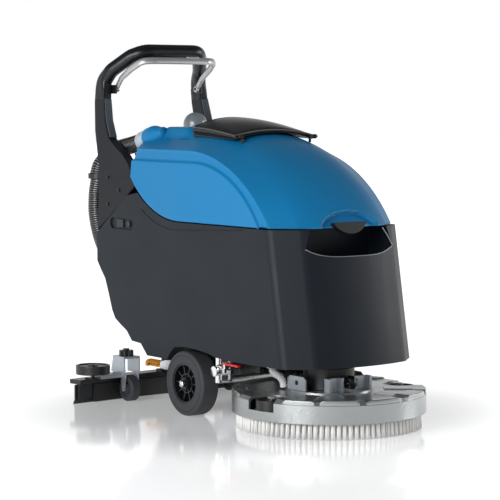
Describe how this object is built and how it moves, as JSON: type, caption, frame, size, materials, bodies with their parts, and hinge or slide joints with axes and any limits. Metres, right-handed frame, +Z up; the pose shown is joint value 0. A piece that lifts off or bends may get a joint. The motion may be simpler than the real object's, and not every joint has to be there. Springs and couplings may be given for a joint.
{
  "type": "walk-behind floor scrubber",
  "caption": "Walk-behind wet floor scrubber: disc brush under a round deck, battery body with tilting recovery tank, rear squeegee with suction hose, looped handle.",
  "frame": {"origin": "on the floor, at the middle of the machine's bounding box; the brush, wheels, caster and blades touch z = 0", "axes": "+X the direction of travel, +Y the operator's left as they walk behind the machine, +Z up"},
  "size_m": [1.19, 0.708, 1.05],
  "materials": {
    "body_plastic": "fine grain, satin",
    "tank_plastic": "smooth, semi-gloss blue",
    "black_plastic": "satin black",
    "lid_plastic": "satin black",
    "grip_rubber": "smooth satin black",
    "rim_plastic": "moulded black",
    "tyre_rubber": "dark grey, dull",
    "hose_rubber": "corrugated black",
    "water_hose": "corrugated off-white",
    "cast_metal": "painted cast, silver grey",
    "steel": "zinc plated",
    "bracket_steel": "light grey powder coat",
    "frame_steel": "black powder coat",
    "lever_metal": "satin silver",
    "motor": "black",
    "bristle": "white nylon tufts",
    "squeegee_metal": "dark satin",
    "blade_rubber": "black",
    "dome": "grey translucent look",
    "cuff": "light grey",
    "basket": "yellow",
    "battery": "dark grey case",
    "lead": "red sleeving",
    "valve_metal": "bright plated",
    "red_plastic": "red",
    "yellow_plastic": "yellow",
    "green_plastic": "green",
    "key_metal": "plated"
  },
  "bodies": {
    "chassis": {"solution_tank": "body_plastic", "base_frame": "frame_steel", "console_housing": "body_plastic", "control_panel": "black_plastic", "handle_frame": "body_plastic", "lever_blocks": "black_plastic", "handle_inserts": "lever_metal", "grip_sleeve": "grip_rubber", "chassis_screws": "steel", "charger_socket": "black_plastic", "batteries": "battery", "battery_leads": "lead", "vacuum_motor": "motor", "air_filter_dome": "dome", "axle": "steel", "suction_hose_upper": "hose_rubber", "suction_hose_lower": "hose_rubber", "hose_clamp": "black_plastic", "solution_valve": "valve_metal", "solution_hose": "water_hose", "tank_hinge_pin": "steel"},
    "fill_cap": {"fill_cap": "black_plastic"},
    "recovery_tank": {"recovery_tank": "tank_plastic", "tank_hinge_ears": "tank_plastic", "inlet_cuff": "cuff", "front_latch": "black_plastic", "debris_basket": "basket", "lid_hinge_pins": "steel"},
    "tank_lid": {"tank_lid": "lid_plastic"},
    "switch_lever": {"switch_lever": "lever_metal"},
    "wheel_right": {"tyre_right": "tyre_rubber", "rim_right": "rim_plastic"},
    "wheel_left": {"tyre_left": "tyre_rubber", "rim_left": "rim_plastic"},
    "caster_fork": {"caster_fork": "bracket_steel"},
    "caster_wheel": {"caster_wheel": "tyre_rubber"},
    "brush_head": {"brush_deck": "cast_metal", "brush_motor": "motor", "head_bracket": "bracket_steel"},
    "brush": {"brush_plate": "steel", "brush_bristles": "bristle"},
    "star_knob": {"star_knob": "black_plastic"},
    "roller_right": {"roller_right": "black_plastic"},
    "roller_left": {"roller_left": "black_plastic"},
    "squeegee_arm": {"squeegee_arm": "bracket_steel"},
    "squeegee": {"squeegee_body": "squeegee_metal", "squeegee_blades": "blade_rubber", "caster_brackets": "bracket_steel"},
    "end_roller_right": {"end_roller_right": "black_plastic"},
    "end_roller_left": {"end_roller_left": "black_plastic"},
    "squeegee_wheel_right": {"squeegee_wheel_right": "tyre_rubber"},
    "squeegee_wheel_left": {"squeegee_wheel_left": "tyre_rubber"},
    "bracket_knob_right": {"bracket_knob_right": "black_plastic"},
    "bracket_knob_left": {"bracket_knob_left": "black_plastic"},
    "release_lever": {"release_lever": "yellow_plastic"},
    "key_switch": {"key_switch": "key_metal"},
    "start_button": {"start_button": "green_plastic"},
    "flow_knob": {"flow_knob": "black_plastic"},
    "valve_lever": {"valve_lever": "red_plastic"}
  },
  "joints": [
    {"name": "tank_tilt", "type": "hinge", "parent": "chassis", "child": "recovery_tank", "pos_m": [-0.352, 0, 0.728], "axis": [0, -1, 0], "range_deg": [0, 45], "deforming": ["suction_hose_upper"]},
    {"name": "lid_open", "type": "hinge", "parent": "recovery_tank", "child": "tank_lid", "pos_m": [0.094, 0, 0.783], "axis": [0, 1, 0], "range_deg": [0, 95]},
    {"name": "lever_squeeze", "type": "hinge", "parent": "chassis", "child": "switch_lever", "pos_m": [-0.5, 0, 0.918], "axis": [0, -1, 0], "range_deg": [0, 8], "stiffness_Nm_per_rad": 40, "springref_deg": -5.16},
    {"name": "wheel_right_spin", "type": "hinge", "parent": "chassis", "child": "wheel_right", "pos_m": [-0.043, -0.193, 0.0915], "axis": [0, 1, 0], "continuous": true},
    {"name": "wheel_left_spin", "type": "hinge", "parent": "chassis", "child": "wheel_left", "pos_m": [-0.043, 0.193, 0.0915], "axis": [0, 1, 0], "continuous": true},
    {"name": "caster_swivel", "type": "hinge", "parent": "chassis", "child": "caster_fork", "pos_m": [-0.29, 0, 0.13], "axis": [0, 0, 1], "continuous": true},
    {"name": "caster_spin", "type": "hinge", "parent": "caster_fork", "child": "caster_wheel", "pos_m": [-0.312, 0, 0.04], "axis": [0, 1, 0], "continuous": true},
    {"name": "head_lift", "type": "slide", "parent": "chassis", "child": "brush_head", "axis": [0, 0, 1], "range_m": [0, 0.03], "deforming": ["solution_hose"]},
    {"name": "brush_spin", "type": "hinge", "parent": "brush_head", "child": "brush", "pos_m": [0.33, 0, 0.05], "axis": [0, 0, 1], "continuous": true},
    {"name": "star_knob_turn", "type": "hinge", "parent": "brush_head", "child": "star_knob", "pos_m": [0.414, 0, 0.128], "axis": [1, 0, 0], "continuous": true},
    {"name": "roller_right_spin", "type": "hinge", "parent": "brush_head", "child": "roller_right", "pos_m": [0.366, -0.222, 0.08], "axis": [0, 0, 1], "continuous": true},
    {"name": "roller_left_spin", "type": "hinge", "parent": "brush_head", "child": "roller_left", "pos_m": [0.366, 0.222, 0.08], "axis": [0, 0, 1], "continuous": true},
    {"name": "squeegee_lift", "type": "hinge", "parent": "chassis", "child": "squeegee_arm", "pos_m": [-0.15, 0, 0.118], "axis": [0, 1, 0], "range_deg": [0, 7], "deforming": ["suction_hose_lower"]},
    {"name": "squeegee_swing", "type": "hinge", "parent": "squeegee_arm", "child": "squeegee", "pos_m": [-0.372, 0, 0.1], "axis": [0, 0, 1], "range_deg": [-8, 8]},
    {"name": "end_roller_right_spin", "type": "hinge", "parent": "squeegee", "child": "end_roller_right", "pos_m": [-0.39, -0.304, 0.1], "axis": [0, 0, 1], "continuous": true},
    {"name": "end_roller_left_spin", "type": "hinge", "parent": "squeegee", "child": "end_roller_left", "pos_m": [-0.39, 0.304, 0.1], "axis": [0, 0, 1], "continuous": true},
    {"name": "squeegee_wheel_right_spin", "type": "hinge", "parent": "squeegee", "child": "squeegee_wheel_right", "pos_m": [-0.375, -0.185, 0.037], "axis": [0, 1, 0], "continuous": true},
    {"name": "squeegee_wheel_left_spin", "type": "hinge", "parent": "squeegee", "child": "squeegee_wheel_left", "pos_m": [-0.375, 0.185, 0.037], "axis": [0, 1, 0], "continuous": true},
    {"name": "bracket_knob_right_turn", "type": "hinge", "parent": "squeegee", "child": "bracket_knob_right", "pos_m": [-0.394, -0.185, 0.132], "axis": [0, 0, 1], "continuous": true},
    {"name": "bracket_knob_left_turn", "type": "hinge", "parent": "squeegee", "child": "bracket_knob_left", "pos_m": [-0.394, 0.185, 0.132], "axis": [0, 0, 1], "continuous": true},
    {"name": "release_lever_swing", "type": "hinge", "parent": "squeegee", "child": "release_lever", "pos_m": [-0.4, -0.052, 0.09], "axis": [0, 0, 1], "range_deg": [-10, 20]},
    {"name": "key_turn", "type": "hinge", "parent": "chassis", "child": "key_switch", "pos_m": [-0.44207, -0.1, 0.65593], "axis": [-0.7071, 0, 0.7071], "range_deg": [0, 80]},
    {"name": "start_press", "type": "slide", "parent": "chassis", "child": "start_button", "axis": [0.7071, 0, -0.7071], "range_m": [0, 0.003], "stiffness_N_per_m": 400, "springref_m": -0.001},
    {"name": "flow_turn", "type": "hinge", "parent": "chassis", "child": "flow_knob", "pos_m": [-0.44207, 0.02, 0.65593], "axis": [-0.7071, 0, 0.7071], "range_deg": [-135, 135]},
    {"name": "valve_turn", "type": "hinge", "parent": "chassis", "child": "valve_lever", "pos_m": [0.1, -0.184, 0.16], "axis": [0, 0, 1], "range_deg": [-75, 10]},
    {"name": "fill_cap_turn", "type": "hinge", "parent": "chassis", "child": "fill_cap", "pos_m": [0.372, 0.062, 0.44], "axis": [0, 0, 1], "continuous": true}
  ]
}
